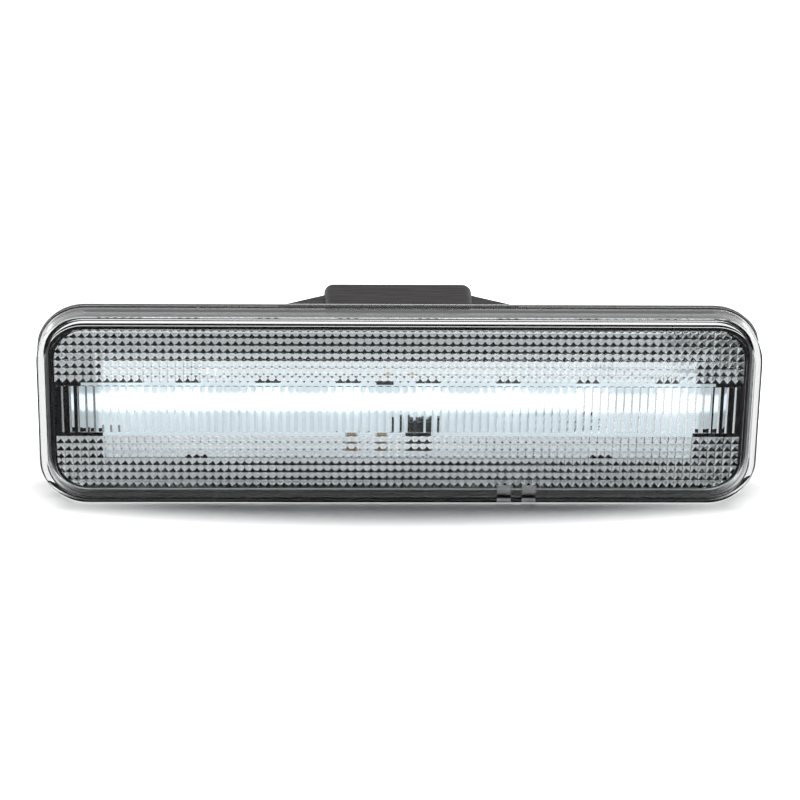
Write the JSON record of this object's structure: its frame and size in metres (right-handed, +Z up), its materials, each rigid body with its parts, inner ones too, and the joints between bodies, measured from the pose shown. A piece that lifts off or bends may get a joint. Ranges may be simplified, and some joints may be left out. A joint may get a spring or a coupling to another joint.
{
  "type": "side marker lamp",
  "caption": "Long rounded marker lamp: clear prism lens with rim rails on a black moulded housing, diode row on a white board, rear screw bosses and connector socket.",
  "frame": {"origin": "midway between the two mounting screws, on the rear faces of their bosses", "axes": "+X along the lamp, to the right seen from the front; +Y to the back, away from the lens; +Z up"},
  "size_m": [0.1816, 0.0328, 0.0514],
  "materials": {
    "clear_plastic": "clear polished acrylic",
    "black_plastic": "black moulded plastic, satin",
    "seal_rubber": "black silicone rubber",
    "board_white": "glass-fibre board with white solder mask",
    "led_package": "white diode package with a lit window",
    "chip_black": "black moulding compound with tinned leads",
    "capacitor_body": "tan ceramic with tinned ends",
    "terminal_brass": "tinned brass strip"
  },
  "bodies": {
    "root": {"capacitor": "capacitor_body", "circuit_board": "board_white", "diode": "chip_black", "driver_chip": "chip_black", "housing": "black_plastic", "input_capacitor": "capacitor_body", "led_1": "led_package", "led_2": "led_package", "led_3": "led_package", "led_4": "led_package", "led_5": "led_package", "led_6": "led_package", "led_7": "led_package", "led_8": "led_package", "lens": "clear_plastic", "lens_seal": "seal_rubber", "resistor_1": "chip_black", "resistor_2": "chip_black", "resistor_3": "chip_black", "resistor_4": "chip_black", "resistor_5": "chip_black", "resistor_6": "chip_black", "resistor_7": "chip_black", "resistor_8": "chip_black", "terminal_ground": "terminal_brass", "terminal_positive": "terminal_brass"}
  },
  "joints": []
}
